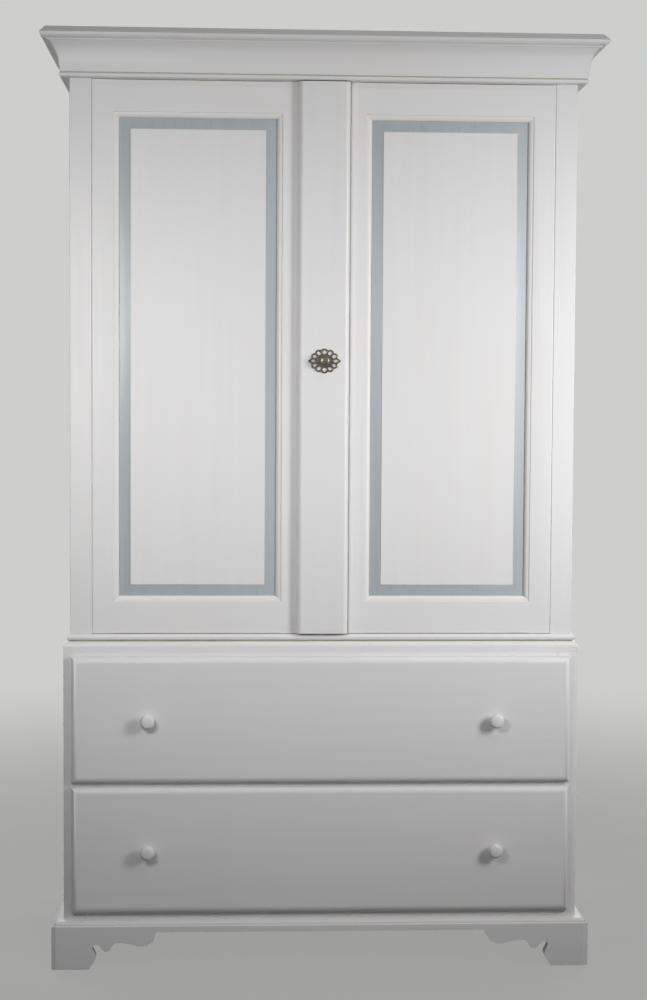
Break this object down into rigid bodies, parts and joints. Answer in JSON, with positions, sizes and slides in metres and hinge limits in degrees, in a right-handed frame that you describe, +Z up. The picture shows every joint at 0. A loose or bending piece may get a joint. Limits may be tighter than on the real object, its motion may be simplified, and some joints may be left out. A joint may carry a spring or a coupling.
{
  "type": "tv armoire",
  "caption": "Painted two-stage television armoire: coved cornice, fielded-panel hinged doors over a television bay, wide drawers below, scrolled bracket feet.",
  "frame": {"origin": "on the floor, under the middle of the armoire's outer box", "axes": "+X to the right as seen from the front, +Y to the back, +Z up"},
  "size_m": [1.1862, 0.6424, 1.98],
  "materials": {
    "white_paint": "warm white satin paint on wood",
    "panel_paint": "warm white satin paint with blue-grey bevels",
    "back_board": "plain fibreboard",
    "drawer_wood": "lacquered light hardwood",
    "runner_wood": "waxed hardwood",
    "aged_metal": "dark antique patina",
    "hinge_steel": "dull plated"
  },
  "bodies": {
    "cabinet": {"upper_side_left": "white_paint", "upper_side_right": "white_paint", "upper_stile_left": "white_paint", "upper_stile_right": "white_paint", "upper_deck": "white_paint", "upper_top_rail": "white_paint", "upper_roof": "white_paint", "upper_back_panel": "back_board", "component_shelf": "white_paint", "cornice_front": "white_paint", "cornice_left": "white_paint", "cornice_right": "white_paint", "bottom_hinge_left": "hinge_steel", "bottom_hinge_right": "hinge_steel", "top_hinge_left": "hinge_steel", "top_hinge_right": "hinge_steel", "lower_side_left": "white_paint", "lower_side_right": "white_paint", "lower_stile_left": "white_paint", "lower_stile_right": "white_paint", "lower_top_board": "white_paint", "lower_top_rail": "white_paint", "lower_middle_rail": "white_paint", "lower_bottom_board": "white_paint", "lower_back_panel": "back_board", "upper_drawer_runner_left": "runner_wood", "upper_drawer_runner_right": "runner_wood", "lower_drawer_runner_left": "runner_wood", "lower_drawer_runner_right": "runner_wood", "base_front": "white_paint", "base_left": "white_paint", "base_right": "white_paint", "base_back": "white_paint"},
    "left_door": {"left_door_hinge_stile": "white_paint", "left_door_meeting_stile": "white_paint", "left_door_top_rail": "white_paint", "left_door_bottom_rail": "white_paint", "left_door_panel": "panel_paint", "centre_strip": "white_paint", "knob_backplate": "aged_metal", "door_knob": "aged_metal"},
    "right_door": {"right_door_hinge_stile": "white_paint", "right_door_meeting_stile": "white_paint", "right_door_top_rail": "white_paint", "right_door_bottom_rail": "white_paint", "right_door_panel": "panel_paint"},
    "upper_drawer": {"upper_drawer_front": "white_paint", "upper_drawer_side_left": "drawer_wood", "upper_drawer_side_right": "drawer_wood", "upper_drawer_back": "drawer_wood", "upper_drawer_bottom": "drawer_wood", "upper_drawer_knob_left": "white_paint", "upper_drawer_knob_right": "white_paint"},
    "lower_drawer": {"lower_drawer_front": "white_paint", "lower_drawer_side_left": "drawer_wood", "lower_drawer_side_right": "drawer_wood", "lower_drawer_back": "drawer_wood", "lower_drawer_bottom": "drawer_wood", "lower_drawer_knob_left": "white_paint", "lower_drawer_knob_right": "white_paint"}
  },
  "joints": [
    {"name": "left_door_hinge", "type": "hinge", "parent": "cabinet", "child": "left_door", "pos_m": [-0.4775, -0.25735, 0.7153], "axis": [0, 0, -1], "range_deg": [0, 110]},
    {"name": "right_door_hinge", "type": "hinge", "parent": "cabinet", "child": "right_door", "pos_m": [0.4775, -0.25735, 0.7153], "axis": [0, 0, 1], "range_deg": [0, 110]},
    {"name": "upper_drawer_slide", "type": "slide", "parent": "cabinet", "child": "upper_drawer", "axis": [0, -1, 0], "range_m": [0, 0.38]},
    {"name": "lower_drawer_slide", "type": "slide", "parent": "cabinet", "child": "lower_drawer", "axis": [0, -1, 0], "range_m": [0, 0.38]}
  ]
}
